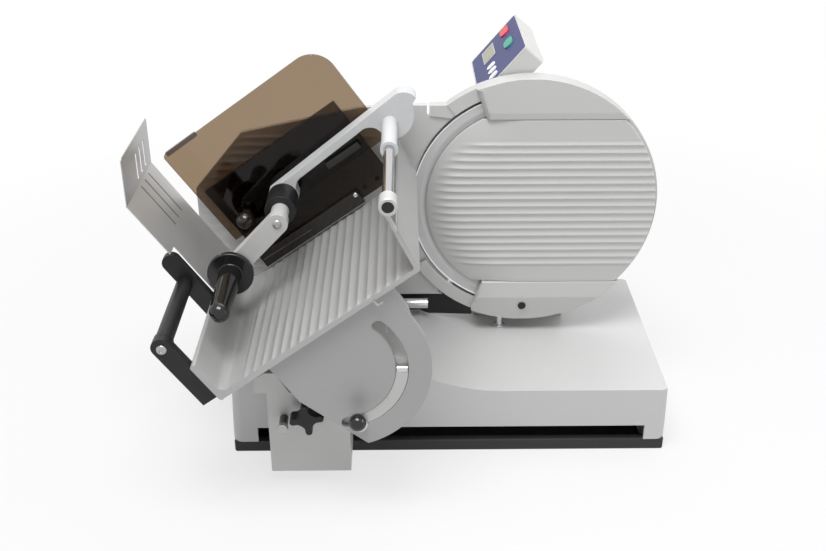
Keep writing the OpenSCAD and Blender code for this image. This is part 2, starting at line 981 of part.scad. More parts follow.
module tray_carrier() {
    color(silver)
        in_tray() {
            slab_y(sector_y1, foot_y1 + 18)
                translate([84, -tray_t - 12])
                    square([96, 12]);
            difference() {
                slab_y(foot_y1 + pass_gap, foot_y1 + 18) {
                    translate([pivot_u, pivot_w])
                        circle(d = pivot_d + 22);
                    translate([pivot_u - (pivot_d + 22) / 2, pivot_w])
                        square([pivot_d + 22, -tray_t - 12 - pivot_w]);
                }
                rod_y(pivot_u, pivot_w, foot_y1, foot_y1 + 30, pivot_d + 2 * run_gap);
            }
        }
}

module fence() {
    color(steel)
        in_tray()
            difference() {
                union() {
                    slab_y(fence_y0 + fence_step, fence_y1) {
                        translate([0, 22])
                            square([fence_u + fence_t, 22]);
                        translate([fence_u, 26])
                            square([fence_t, fence_h - 60]);
                    }
                    slab_y(fence_y0, fence_y1) {
                        translate([fence_u, 150])
                            square([fence_t, fence_h - 150]);
                        translate([fence_u, fence_h])
                            rotate(-tray_tilt)
                                square([fence_t, flange_h]);
                        translate([fence_u, fence_h])
                            intersection() {
                                circle(r = fence_t);
                                square(fence_t);
                            }
                    }
                }
                for (i = [0 : 2]) {
                    translate([fence_u, fence_y0 + fence_depth * (0.47 + 0.15 * i), fence_h])
                        rotate([0, tray_tilt, 0])
                            translate([-5, 0, 8])
                                cube([12, 6, 36]);
                    translate([fence_u + fence_t - 0.8, fence_y0, fence_h - 74])
                        translate([0, fence_depth * (0.47 + 0.15 * i), 0])
                            cube([5, 6, 70]);
                }
            }
}

// flat bracket with a round top, standing on the outside of the low wall
module handle_bracket(y0, u0, w0, u1, w1) {
    wide = u1 + bar_d / 2 + 1 - u0;
    slab_y(y0, y0 + bracket_t)
        difference() {
            union() {
                translate([u0, w0])
                    square([wide, w1 - w0]);
                translate([u0 + wide / 2, w1])
                    circle(d = wide);
                translate([u0, w0 + 10])
                    square([-u0, 32]);
            }
            translate([-8, -30])
                square([40, lip_h + 30.4]);
        }
}

module carriage_handle() {
    color(black)
        in_tray() {
            handle_bracket(front_y0, bar_u - 13, -6, bar_u, bar_w);
            handle_bracket(rear_y0, bar_u - 6, 8, bar_u + 6.5, 122);
            rod_y(bar_u, bar_w, front_y0 + bracket_t - 1, rear_y0 + 1, bar_d);
            rod_y(bar_u, bar_w, front_y0 + bracket_t, front_y0 + bracket_t + 6, bar_d + 3);
        }
}

module holder_rod() {
    color(chrome)
        in_tray()
            rod_y(rod_u, rod_w, tray_y0 - 8, tray_y1, rod_d);
}

module rod_cap() {
    color(black)
        in_tray()
            rod_y(rod_u, rod_w, tray_y0 - 11, tray_y0 - 8, 16);
}

module holder_sleeve() {
    color(white)
        in_tray()
            difference() {
                union() {
                    rod_y(rod_u, rod_w, sleeve_y0, arm_y0 - pass_gap, sleeve_d);
                    rod_y(rod_u, rod_w, sleeve_y0, sleeve_y0 + 8, sleeve_d + 2);
                    rod_y(rod_u, rod_w, arm_y0 - 2, arm_y1 - pass_gap, spigot_d);
                    rod_y(rod_u, rod_w, arm_y1 - pass_gap - 3, arm_y1 - pass_gap, sleeve_d + 3);
                }
                rod_y(rod_u, rod_w, sleeve_y0 - 1, arm_y1 + 10, rod_d + 2 * run_gap);
            }
}

// slim arm from the hub up to the boss round the rod, with an ear past the rod
module holder_arm() {
    color(white)
        in_tray()
            difference() {
                union() {
                    slab_y(arm_y0, arm_y1)
                        polygon([[hub_u - 10, hub_w + 20], [rod_u + 28, rod_w + 32], [rod_u + 28, rod_w + 7],
                            [rod_u + 5, rod_w + 6], [rod_u - 12, rod_w - 7], [rod_u - 36, rod_w - 7],
                            [rod_u - 36, rod_w + 13.3], [hub_u + 38.5, hub_w + 8.9],
                            [hub_u + 23.5, hub_w - 4.5], [hub_u, hub_w]]);
                    rod_y(hub_u, hub_w, arm_y0, arm_y1, 2 * hub_r);
                    rod_y(rod_u + 5, rod_w + 6, arm_y0, arm_y1, 62.6);
                    rod_y(rod_u + 28, rod_w + 7, arm_y0, arm_y1, 41.8);
                }
                slab_y(arm_y0 - 1, arm_y1 + 1)
                    polygon([[hub_u - 60, hub_w + 13.4], [rod_u + 80, rod_w + 30.8],
                        [rod_u + 80, rod_w + 90], [hub_u - 60, hub_w + 90]]);
                slab_y(arm_y0 - 1, arm_y1 + 1)
                    polygon([[rod_u + 39.5, rod_w + 3.6], [rod_u + 58, rod_w + 12], [rod_u + 58, rod_w - 26],
                        [rod_u + 28.5, rod_w - 17], [rod_u + 33.5, rod_w - 9]]);
                rod_y(rod_u - 36, rod_w - 5, arm_y0 - 1, arm_y1 + 1, 37.2);
                rod_y(hub_u + 38.5, hub_w - 11, arm_y0 - 1, arm_y1 + 1, 40);
                rod_y(rod_u, rod_w, arm_y0 - 1, arm_y1 + 1, spigot_d + 2 * run_gap);
                rod_y(rod_u, rod_w, arm_y1 - 2 * pass_gap - 3, arm_y1 + 1, sleeve_d + 3 + 2 * pass_gap);
            }
}

module hub_bush() {
    color(black)
        in_tray() {
            rod_y(hub_u, hub_w, bush_y0, arm_y0, 2 * hub_r);
            rod_y(hub_u, hub_w, arm_y1, plate_b_y1 - plate_t, 30);
            rod_y(hub_u, hub_w, plate_b_y1, plate_a_y1 - plate_t, 30);
            rod_y(240, hub_w + 12, plate_b_y1, plate_a_y1 - plate_t, 20);
        }
}

module holder_link() {
    color(white)
        in_tray() {
            rod_y(hub_u, hub_w, link_y1, bush_y0, 24);
            slab_y(link_y0, link_y1)
                link2d(hub_u, hub_w, grip_u, grip_w, 28);
        }
}

module pusher_plate() {
    color(smoke)
        in_tray()
            slab_y(plate_b_y1 - plate_t, plate_b_y1)
                translate([153.5, 78.2])
                    rrect(228, 138.4, 2);
}

module grip_strip() {
    color(black)
        in_tray() {
            slab_y(plate_b_y1 - plate_t - 7, plate_b_y1 - plate_t)
                translate([39.5, 5.5])
                    square([176, 21]);
            slab_y(plate_b_y1 - plate_t - 7, plate_b_y1 - plate_t)
                translate([204, 74])
                    square([56, 10]);
            for (i = [0 : 9])
                translate([50 + i * 22, plate_b_y1, 21])
                    rotate([-90, 0, 0])
                        cylinder(d1 = 7, d2 = 2, h = 8);
            rod_y(65, 85, plate_b_y1 - plate_t - 12, plate_b_y1 - plate_t, 16);
            translate([65, plate_b_y1 - plate_t - 18, 85])
                sphere(d = 25);
        }
}

module hand_guard() {
    color(smoke)
        in_tray()
            slab_y(plate_a_y1 - plate_t, plate_a_y1) {
                translate([25, 62])
                    square([272, 123]);
                translate([31, 62])
                    square([230, 159]);
                translate([31, 215])
                    circle(r = 6);
                translate([25, 62])
                    square([6, 153]);
                translate([261, 185])
                    circle(r = 36);
            }
}

module guard_clip() {
    color([0.12, 0.11, 0.11])
        in_tray()
            difference() {
                slab_y(plate_a_y1 - plate_t - 1.5, plate_a_y1 + 1.5)
                    translate([32, 216])
                        square([52, 6.5]);
                slab_y(plate_a_y1 - plate_t, plate_a_y1)
                    translate([20, 200])
                        square([100, 21]);
            }
}

module holder_handle() {
    color(black)
        in_tray() {
            rod_y(grip_u, grip_w, flange_y0, link_y0, 62);
            translate([grip_u, flange_y0, grip_w])
                rotate([90, 0, 0]) {
                    cylinder(d1 = 31, d2 = 27, h = grip_len - 10);
                    translate([0, 0, grip_len - 10])
                        sphere(d = 27);
                }
        }
}

module stop_button() {
    color([0.80, 0.15, 0.18])
        panel_key(0, 2.2);
}

module start_button() {
    color([0.10, 0.60, 0.45])
        panel_key(1, 2.2);
}

module key_1() {
    color(white)
        panel_key(2, 1.6);
}

module key_2() {
    color(white)
        panel_key(3, 1.6);
}

module key_3() {
    color(white)
        panel_key(4, 1.6);
}

base_housing();
base_plinth();
guide_shaft();
shaft_brackets();
support_rail();
blade_tower();
tower_cover();
motor();
drive_belt();
blade_bearings();
blade_guard();
guard_segments();
blade_cover();
guard_post();
gauge_guides();
interlock_rod();
panel_neck();
panel_housing();
panel_fascia();
display_window();
control_board();
mains_gland();
blade();
blade_shaft();
blade_pulley();
motor_rotor();
gauge_plate();
gauge_carrier();
thickness_dial();
dial_spindle();
carriage_foot();
carriage_arm();
slide_bushes();
support_roller();
tilt_pivot();
stop_bolt();
star_knob();
clamp_lever();
clamp_ball();
tray();
tray_sector();
tray_carrier();
fence();
carriage_handle();
holder_rod();
rod_cap();
holder_sleeve();
holder_arm();
hub_bush();
holder_link();
pusher_plate();
grip_strip();
hand_guard();
guard_clip();
holder_handle();
stop_button();
start_button();
key_1();
key_2();
key_3();
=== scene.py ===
"""Electric food slicer: finishes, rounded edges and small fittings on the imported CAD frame.

Metres, +Z up. X is the carriage's stroke, Y runs from the operator to the blade.
"""
import json
import math

import bmesh
import bpy
import numpy as np
from mathutils import Matrix, Vector


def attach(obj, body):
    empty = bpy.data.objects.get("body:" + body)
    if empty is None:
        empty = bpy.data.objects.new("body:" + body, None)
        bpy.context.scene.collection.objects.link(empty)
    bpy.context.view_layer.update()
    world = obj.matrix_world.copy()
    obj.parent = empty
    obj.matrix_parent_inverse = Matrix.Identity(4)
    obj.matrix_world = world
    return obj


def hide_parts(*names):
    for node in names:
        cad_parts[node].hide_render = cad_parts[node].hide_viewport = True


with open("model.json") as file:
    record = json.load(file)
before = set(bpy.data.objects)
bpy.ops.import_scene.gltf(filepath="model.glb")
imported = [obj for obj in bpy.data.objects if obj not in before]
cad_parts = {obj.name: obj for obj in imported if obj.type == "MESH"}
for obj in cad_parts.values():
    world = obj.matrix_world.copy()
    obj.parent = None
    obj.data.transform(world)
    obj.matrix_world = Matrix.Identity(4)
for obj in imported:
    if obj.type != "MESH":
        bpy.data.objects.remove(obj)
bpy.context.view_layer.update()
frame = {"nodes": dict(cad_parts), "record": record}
NODES = frame["nodes"]
BODY = {n: b for b, members in frame["record"]["behaviour"]["bodies"].items() for n in members}
SLOT = {s["node"]: s["material_slot"] for s in frame["record"]["subparts"]}

# the tilted frame of the tray: u up the slope, y along the feed, w square to the floor
TRAY_TILT = math.radians(35.5)
TRAY = Matrix.Translation((-0.290, 0, 0.1986)) @ Matrix.Rotation(-TRAY_TILT, 4, "Y")
TRAY_LENGTH, TRAY_FRONT, TRAY_REAR = 0.293, -0.307, -0.012
WALL, WALL_HIGH, WALL_LEAN = 0.005, 0.052, math.tan(math.radians(8))

# the panel's frame: q up its slope, z out of its face
PANEL_TILT = math.radians(49.4)
PANEL = Matrix.Translation((0.0413, 0, 0.4609)) @ Matrix.Rotation(-PANEL_TILT, 4, "Y")

BLADE = Vector((0.113, 0, 0.311))  # the blade's centre
BLADE_R, GUARD_R = 0.165, 0.188
TO_FRONT, TO_BACK, TO_RIGHT = (0, -1, 0), (0, 1, 0), (1, 0, 0)

ROUNDED = 34  # degrees between two faces: a sharper edge gets a bevel
CREASED = 18  # degrees: a softer edge is shaded smooth
UNROUNDED = 180  # degrees: for pieces without a bevel, whose edges all stay crisp
BEVEL = 0.0008  # on new pieces of thick stock

WHITE = (1.0, 1.0, 1.0)
GRAIN_DEPTH = 0.0002  # height of the grain in every finish


def new_object(name, data):
    obj = bpy.data.objects.new(name, data)
    bpy.context.scene.collection.objects.link(obj)
    return obj


def make_camera():
    """The photograph's camera: 28 degrees down, a little to the right of straight ahead."""
    photo_width, focal = 826, 1085  # pixels
    down, right = 28, 0.65  # degrees
    data = bpy.data.cameras.new("camera")
    data.sensor_fit = "HORIZONTAL"
    data.sensor_width = 36.0
    data.lens = data.sensor_width * focal / photo_width
    cam = new_object("camera", data)
    cam.location = (-0.0663, -1.4205, 0.9530)
    cam.rotation_euler = (math.radians(90 - down), 0, math.radians(-right))
    bpy.context.scene.camera = cam


class Value:
    """A node socket that works like a number: + - * and their reflected forms add Math nodes to its graph."""

    def __init__(self, graph, socket):
        self.graph, self.socket = graph, socket

    def math(self, kind, first, second):
        return self.graph.make("ShaderNodeMath", {"operation": kind}, {0: first, 1: second})

    def __add__(self, other):
        return self.math("ADD", self, other)

    def __sub__(self, other):
        return self.math("SUBTRACT", self, other)

    def __rsub__(self, other):
        return self.math("SUBTRACT", other, self)

    def __mul__(self, other):
        return self.math("MULTIPLY", self, other)

    __radd__ = __add__
    __rmul__ = __mul__

    def swing(self, amount):
        """A noise from 0 to 1 as a change of half the amount either way."""
        return (self - 0.5) * amount


class Graph:
    """The nodes of one material, or of the world."""

    def __init__(self, tree):
        self.tree = tree

    def put(self, socket, value):
        """Links a value to a socket, or sets the socket to a number, a vector or a colour."""
        if isinstance(value, Value):
            self.tree.links.new(value.socket, socket)
        elif socket.type == "RGBA":
            socket.default_value = (*value, 1)
        else:
            socket.default_value = value

    def make(self, kind, settings=None, sockets=None, out=0):
        """Adds one node, with its settings first and then its sockets, and gives back one of its outputs."""
        node = self.tree.nodes.new(kind)
        for key, value in (settings or {}).items():
            setattr(node, key, value)
        for key, value in (sockets or {}).items():
            self.put(node.inputs[key], value)
        return Value(self, node.outputs[out]) if node.outputs else None

    def shown(self):
        """1 for rays that show the surroundings: from the camera, off a gloss or through a clear sheet."""
        eye, gloss, through = (self.make("ShaderNodeLightPath", out=f"Is {kind} Ray")
                               for kind in ("Camera", "Glossy", "Transmission"))
        return eye.math("MAXIMUM", eye.math("MAXIMUM", eye, gloss), through)


class Paint(Graph):
    """One procedural material round a Principled shader."""

    MIX_A, MIX_B, MIX_OUT = 6, 7, 2  # the Mix node's sockets for colours

    def __init__(self, name, **constants):
        self.material = bpy.data.materials.new(name)
        self.material.use_nodes = True
        super().__init__(self.material.node_tree)
        self.shader = self.tree.nodes["Principled BSDF"]
        for key, value in constants.items():
            self.put(self.shader.inputs[key.replace("_", " ")], value)

    def place(self, stretch=(1, 1, 1)):
        """Object coordinates, scaled by stretch along each axis."""
        spot = self.make("ShaderNodeTexCoord", out="Object")
        return self.make("ShaderNodeMapping", None, {"Vector": spot, "Scale": stretch})

    def noise(self, scale, detail=2.0, stretch=(1, 1, 1)):
        where = self.place(stretch)
        return self.make("ShaderNodeTexNoise", None, {"Vector": where, "Scale": scale, "Detail": detail})

    def tint(self, colour, low, high, factor):
        """The colour from low to high times its tone, as the factor goes from 0 to 1."""
        dark, pale = (tuple(min(1.0, c * k) for c in colour) for k in (low, high))
        sockets = {"Factor": factor, self.MIX_A: dark, self.MIX_B: pale}
        return self.make("ShaderNodeMix", {"data_type": "RGBA"}, sockets, out=self.MIX_OUT)

    def finish(self, colour, rough, height=None, bump=0.0):
        """Feeds colour, roughness and, with a height, a bump into the shader."""
        self.put(self.shader.inputs["Base Color"], colour)
        self.put(self.shader.inputs["Roughness"], rough)
        if height is not None:
            sockets = {"Height": height, "Strength": bump, "Distance": GRAIN_DEPTH}
            self.put(self.shader.inputs["Normal"], self.make("ShaderNodeBump", None, sockets))
        return self.material


def metal(name, colour, rough, grain=0.10, stretch=(1, 1, 1), scale=1100, bump=0.12, **more):
    """Metal with a fine grain in its gloss and a slow drift in its tone; a stretched grain looks brushed."""
    drift, fine_share = 0.08, 0.6
    paint = Paint(name, **more)
    fine = paint.noise(scale, detail=3.0, stretch=stretch)
    slow = paint.noise(scale=5.0)
    shade = paint.tint(colour, low=0.90, high=1.08, factor=slow * (1 - fine_share) + fine * fine_share)
    return paint.finish(shade, fine.swing(grain) + slow.swing(drift) + rough, fine, bump)


def plastic(name, colour, rough, bump=0.15, **more):
    """Moulded plastic or paint: an even colour, a fine skin and faint smears in the gloss."""
    grain, smear = 0.06, 0.10
    paint = Paint(name, **more)
    fine = paint.noise(scale=1600)
    slow = paint.noise(scale=18.0, detail=3.0)
    shade = paint.tint(colour, low=0.92, high=1.10, factor=slow)
    return paint.finish(shade, slow.swing(smear) + fine.swing(grain) + rough, fine, bump)


def clear(name, colour, rough):
    """Tinted clear sheet, a little streaked."""
    streak = 0.03
    paint = Paint(name, Transmission_Weight=1.0, IOR=1.3)
    slow = paint.noise(scale=9.0, detail=3.0)
    shade = paint.tint(colour, low=0.96, high=1.03, factor=slow)
    return paint.finish(shade, slow.swing(streak) + rough)


PAINT = {
    "silver": metal("silver", (0.52, 0.52, 0.51), 0.42, Metallic=0.25),
    "sector": metal("sector", (0.37, 0.37, 0.365), 0.42, Metallic=0.25),
    "tray": metal("tray", (0.42, 0.42, 0.415), 0.34, Metallic=0.35),
    "deck": metal("deck", (0.55, 0.55, 0.545), 0.44, Metallic=0.20),
    "steel": metal("steel", (0.46, 0.455, 0.445), 0.36, grain=0.22, stretch=(1, 0.02, 1), scale=700,
                   Metallic=0.5),
    "blade": metal("blade", (0.52, 0.52, 0.52), 0.36, grain=0.06, Metallic=0.35),
    # pale colour: a painted highlight along the blade's ground edge
    "ground_edge_highlight": metal("ground_edge_highlight", (0.88, 0.88, 0.88), 0.30, grain=0.04, Metallic=0.3),
    "chrome": metal("chrome", (0.60, 0.60, 0.605), 0.12, grain=0.04, bump=0.02, Metallic=1.0),
    "bolt": metal("bolt", (0.42, 0.41, 0.40), 0.30, grain=0.04, Metallic=0.9),
    "thread": metal("thread", (0.12, 0.12, 0.12), 0.45, Metallic=0.6),
    "black": plastic("black", (0.011, 0.011, 0.012), 0.42, Specular_IOR_Level=0.35),
    "plinth": plastic("plinth", (0.026, 0.026, 0.027), 0.55, Specular_IOR_Level=0.35),
    "gloss_black": plastic("gloss_black", (0.008, 0.008, 0.008), 0.12, bump=0.03),
    "casting": plastic("casting", (0.52, 0.525, 0.53), 0.36, bump=0.10),
    "smoke": clear("smoke", (0.31, 0.222, 0.145), 0.03),
    # the pusher plate's smoke tint, made darker than its own with painted shade for the dim parts seen
    # through it
    "smoke_and_shade": clear("smoke_and_shade", (0.115, 0.082, 0.058), 0.03),
    "strip": plastic("strip", (0.013, 0.010, 0.008), 0.16, bump=0.03),
    "clip": plastic("clip", (0.10, 0.075, 0.06), 0.30),
    "iron": plastic("iron", (0.07, 0.075, 0.08), 0.55),
    "rubber": plastic("rubber", (0.015, 0.015, 0.015), 0.75),
    "bronze": metal("bronze", (0.60, 0.43, 0.20), 0.30, Metallic=1.0),
    "panel_white": plastic("panel_white", (0.55, 0.55, 0.535), 0.45),
    "fascia": plastic("fascia", (0.040, 0.046, 0.150), 0.40, Specular_IOR_Level=0.2),
    "display": plastic("display", (0.42, 0.42, 0.41), 0.40),
    "lcd": plastic("lcd", (0.30, 0.29, 0.20), 0.30),
    "board": plastic("board", (0.03, 0.16, 0.06), 0.5),
    "red": plastic("red", (0.62, 0.045, 0.05), 0.35),
    "green": plastic("green", (0.025, 0.30, 0.20), 0.35),
    "key_white": plastic("key_white", (0.78, 0.78, 0.78), 0.35),
}

# nodes whose finish isn't the one that their slot is named for
FINISH = {
    "base_housing": "deck", "base_plinth": "plinth", "blade": "blade", "guard_clip": "clip",
    "pusher_plate": "smoke_and_shade", "grip_strip": "strip", "tray": "tray", "tray_sector": "sector",
    "holder_link": "silver", "stop_bolt": "bolt",
}

# radius of the rounded edges on the CAD nodes that are shown with a bevel
EDGE_RADIUS = {
    "base_housing": 0.0035, "base_plinth": 0.002, "blade_tower": 0.003, "tower_cover": 0.004,
    "blade_guard": 0.0015, "panel_neck": 0.002, "panel_housing": 0.002, "carriage_foot": 0.0025,
    "tray_sector": 0.001, "tray_carrier": 0.0015, "carriage_handle": 0.003, "holder_arm": 0.0015,
    "holder_link": 0.0015, "hub_bush": 0.001, "holder_handle": 0.0015, "pusher_plate": 0.0006,
    "hand_guard": 0.0008, "guard_clip": 0.0006, "grip_strip": 0.001, "star_knob": 0.002,
    "thickness_dial": 0.0015, "stop_button": 0.0008, "start_button": 0.0008, "key_1": 0.0005,
    "key_2": 0.0005, "key_3": 0.0005, "interlock_rod": 0.001, "guard_post": 0.0006,
    "holder_sleeve": 0.0006, "rod_cap": 0.0005, "gauge_guides": 0.0015, "gauge_carrier": 0.001,
    "mains_gland": 0.001, "panel_fascia": 0.0004,
}


def cover_with(obj, paint):
    obj.data.materials.clear()
    obj.data.materials.append(PAINT[paint])


def dress(obj, node=None, body=None, slot=None, paint=None):
    """Rides the piece on its body and gives it its finish; with a node it stands for that CAD node."""
    slot = slot or SLOT[node]
    cover_with(obj, paint or FINISH.get(node, slot))
    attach(obj, body or BODY[node])
    if node:
        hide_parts(node)


def tidy_mesh(mesh, flat=False, crisp=ROUNDED):
    """Merges doubles and turns faces outwards, smooth but for crisp lines on edges from CREASED to crisp.

    With flat, coplanar facets are joined and the faces stay the way they point.
    """
    merge, coplanar = 1e-6 if flat else 1e-7, math.radians(0.5)
    bm = bmesh.new()
    bm.from_mesh(mesh)
    bmesh.ops.remove_doubles(bm, verts=bm.verts, dist=merge)
    if flat:
        bmesh.ops.dissolve_limit(bm, angle_limit=coplanar, verts=bm.verts, edges=bm.edges)
    else:
        bmesh.ops.recalc_face_normals(bm, faces=bm.faces)
    for face in bm.faces:
        face.smooth = True
    for edge in bm.edges:
        if len(edge.link_faces) == 2:
            edge.smooth = not CREASED < math.degrees(edge.calc_face_angle(0)) < crisp
    bm.to_mesh(mesh)
    bm.free()
    mesh.update()


def round_edges(obj, width):
    """Bevels the piece's sharp edges to width and keeps its flat faces flat in the shading."""
    bevel = obj.modifiers.new("round", "BEVEL")
    bevel.width = width
    bevel.segments = 3
    bevel.limit_method = "ANGLE"
    bevel.angle_limit = math.radians(ROUNDED)
    bevel.miter_outer = "MITER_ARC"
    bevel.use_clamp_overlap = True
    flat = obj.modifiers.new("flat", "WEIGHTED_NORMAL")
    flat.keep_sharp = True
    return obj


def soften(node, width):
    """The CAD node with its coplanar facets joined and its sharp edges rounded to width."""
    mesh = NODES[node].data.copy()
    tidy_mesh(mesh, flat=True)
    dress(round_edges(new_object(node + "_round", mesh), width), node)


def skin(name, grid, place=Matrix(), loop=False, crisp=UNROUNDED):
    """Closed piece over a grid of sections by outline points, as one array: quads join each point to the next
    one round its outline and to the same two on the next section; the ends are capped, or meet in a loop."""
    count, size = grid.shape[:2]
    turn = np.array(place)
    points = grid.reshape(-1, 3) @ turn[:3, :3].T + turn[:3, 3]
    number = np.arange(count * size).reshape(count, size)
    beside = np.roll(number, -1, axis=1)
    quads = np.stack([number, beside, np.roll(beside, -1, axis=0), np.roll(number, -1, axis=0)], axis=-1)
    faces = (quads if loop else quads[:-1]).reshape(-1, 4).tolist()
    if not loop:
        faces += [number[0].tolist(), number[-1].tolist()]
    mesh = bpy.data.meshes.new(name)
    mesh.from_pydata(points.tolist(), [], faces)
    tidy_mesh(mesh, crisp=crisp)
    return new_object(name, mesh)


def closed_sheet(name, front, back_y):
    """Sheet with a shaped front: each row runs along the front points and back along the same ones at
    back_y."""
    back = front[:, ::-1].copy()
    back[..., 1] = back_y
    return skin(name, np.concatenate([front, back], axis=1))


def prism(name, outline, y0, y1, place=Matrix(), crisp=UNROUNDED):
    """Outline of (x, z) points carried along Y from y0 to y1."""
    x, z = np.array(outline).T
    grid = np.stack([np.stack([x, np.full_like(x, y), z], axis=-1) for y in (y0, y1)])
    return skin(name, grid, place, crisp=crisp)


def lathe(name, profile, centre, axis, place=Matrix(), steps=48):
    """Profile of (radius, height) points turned round an axis through centre: x = r cos t, y = r sin t.
    Points of radius 0 merge into one pole."""
    turn = Vector((0, 0, 1)).rotation_difference(Vector(axis)).to_matrix().to_4x4()
    r, h = np.array(profile, dtype=float).T
    t = np.linspace(0, 2 * math.pi, steps, endpoint=False)[:, None]
    grid = np.stack([r * np.cos(t), r * np.sin(t), np.broadcast_to(h, (steps, len(h)))], axis=-1)
    return skin(name, grid, place @ Matrix.Translation(centre) @ turn, loop=True)


def plate(name, outline, slots, thick, place):
    """Flat plate: an outline with slots filled as a flat curve, thick along its own Z, then made a mesh."""
    curve = bpy.data.curves.new(name, "CURVE")
    curve.dimensions, curve.fill_mode, curve.extrude = "2D", "BOTH", thick / 2
    for line in (outline, *slots):
        flat = np.zeros((len(line), 4))
        flat[:, :2] = line
        flat[:, 3] = 1
        spline = curve.splines.new("POLY")
        spline.points.add(len(line) - 1)
        spline.points.foreach_set("co", flat.ravel())
        spline.use_cyclic_u = True
    pattern = bpy.data.objects.new(name, curve)
    mesh = bpy.data.meshes.new_from_object(pattern)
    bpy.data.objects.remove(pattern)
    bpy.data.curves.remove(curve)
    mesh.name = name
    mesh.transform(place)
    tidy_mesh(mesh)
    return new_object(name, mesh)


def arc(u, w, r, a0, a1, steps=8):
    """Points on a circle round (u, w) from angle a0 to a1 in degrees."""
    a = np.radians(np.linspace(a0, a1, steps))
    return np.stack([u + r * np.cos(a), w + r * np.sin(a)], axis=-1)


def box(x0, x1, y0, y1):
    """Rectangle as one closed outline."""
    return [(x0, y0), (x1, y0), (x1, y1), (x0, y1)]


def round_box(x0, x1, y0, y1, r):
    """Rounded rectangle as one closed outline: four quarter circles."""
    return np.concatenate([arc(x1 - r, y1 - r, r, 0, 90), arc(x0 + r, y1 - r, r, 90, 180),
                           arc(x0 + r, y0 + r, r, 180, 270), arc(x1 - r, y0 + r, r, 270, 360)])


def screw(name, centre, radius, height, body, slot, place=Matrix(), paint=None):
    """Screw head turned from its profile, in shares of radius and height: a low dome with a sunk socket in
    the middle, flat underneath."""
    dome = [(0.94, 0), (1, 0.15), (0.98, 0.4), (0.88, 0.68), (0.70, 0.9), (0.48, 1)]
    socket = [(0.42, 0.97), (0.38, 0.6), (0, 0.5)]
    profile = np.array([(0, 0), *dome, *socket]) * (radius, height)
    dress(lathe(name, profile, centre, TO_FRONT, place, 40), body=body, slot=slot, paint=paint)


def make_world():
    """White where the surroundings are seen; as light, a room that is dim low down and brighter overhead."""
    dim, bright, lowest, daylight = 0.12, 0.70, -0.1, (0.97, 0.98, 1.0)
    world = bpy.data.worlds.new("room")
    bpy.context.scene.world = world
    world.use_nodes = True
    world.node_tree.nodes.clear()
    room = Graph(world.node_tree)
    way = room.make("ShaderNodeTexCoord", out="Generated")
    up = room.make("ShaderNodeSeparateXYZ", None, {0: way}, out="Z")
    span = {"Value": up, "From Min": lowest, "To Min": dim, "To Max": bright}
    level = room.make("ShaderNodeMapRange", None, span)
    light = room.make("ShaderNodeBackground", None, {"Color": daylight, "Strength": level})
    white = room.make("ShaderNodeBackground", None, {"Color": WHITE, "Strength": 1.0})
    both = room.make("ShaderNodeMixShader", None, {"Fac": room.shown(), 1: light, 2: white})
    room.make("ShaderNodeOutputWorld", None, {"Surface": both})


def make_floor():
    """Pale floor that keeps the shadow near the object and goes over into the white surroundings."""
    near, far, least = 0.4, 1.3, 0.70  # from near to far the white grows from its least share to all
    left, right, front, back = -9, 9, -9, 20
    mesh = bpy.data.meshes.new("floor")
    mesh.from_pydata([(x, y, 0) for x, y in box(left, right, front, back)], [], [(0, 1, 2, 3)])
    floor = new_object("floor", mesh)
    paint = Paint("floor", Specular_IOR_Level=0.2)
    tone = paint.tint(WHITE, low=0.62, high=0.65, factor=paint.noise(scale=0.6))
    mesh.materials.append(paint.finish(tone, rough=0.7))
    away = paint.make("ShaderNodeVectorMath", {"operation": "LENGTH"}, {0: paint.place()}, out="Value")
    span = {"Value": away, "From Min": near, "From Max": far, "To Min": least, "To Max": 1.0}
    share = paint.make("ShaderNodeMapRange", None, span)
    white = paint.make("ShaderNodeEmission", None, {"Color": WHITE, "Strength": 1.0})
    plain = Value(paint, paint.shader.outputs[0])
    both = paint.make("ShaderNodeMixShader", None, {"Fac": paint.shown() * share, 1: plain, 2: white})
    paint.put(paint.tree.nodes["Material Output"].inputs["Surface"], both)


def area_light(name, place, target, size, power):
    data = bpy.data.lights.new(name, "AREA")
    data.shape = "RECTANGLE"
    data.size, data.size_y = size
    data.energy = power
    lamp = new_object(name, data)
    lamp.location = place
    lamp.rotation_euler = (Vector(target) - Vector(place)).to_track_quat("-Z", "Y").to_euler()


def make_lights():
    """A broad light above the operator, a weaker one high up behind and one on the right."""
    area_light("top", place=(-0.3, -0.8, 2.3), target=(0, -0.05, 0.2), size=(1.4, 1.0), power=50)
    area_light("back", place=(0.3, 1.0, 2.2), target=(0, 0, 0.3), size=(1.8, 1.0), power=12)
    area_light("right", place=(2.0, -0.35, 1.1), target=(0, -0.1, 0.3), size=(1.2, 0.8), power=10)


def ramp(t):
    """Smooth step from 0 to 1: 3 t squared - 2 t cubed."""
    t = np.clip(t, 0, 1)
    return t * t * (3 - 2 * t)


def flute(t):
    """Crest at each whole step of t with a hollow between: 1 - |sin|, its tip a little rounded."""
    tip = 0.12
    return (math.hypot(1, tip) - np.hypot(np.sin(math.pi * t), tip)) / (math.hypot(1, tip) - tip)


def begun(t):
    """Lets flutes begin at step 0: a ramp from 0 to 1 in the hollow before it."""
    return ramp((t + 0.9) / 0.6)


def round_over(inside, radius):
    """How far a rounded rim falls back at a distance inside the edge: a quarter circle."""
    short = np.clip(radius - inside, 0, radius)
    return radius - np.sqrt(radius ** 2 - short ** 2)


def rows(low, high, edge, count, lines=()):
    """Heights from low to high: close together at both rims and on each side of the given crease lines."""
    aside = 0.0002
    rim = edge * np.array([0, 0.1, 0.4])
    middle = np.linspace(low + edge, high - edge, count)
    creases = np.array([[line - aside, line + aside] for line in lines]).ravel()
    return np.sort(np.concatenate([low + rim, middle, high - rim, creases]))


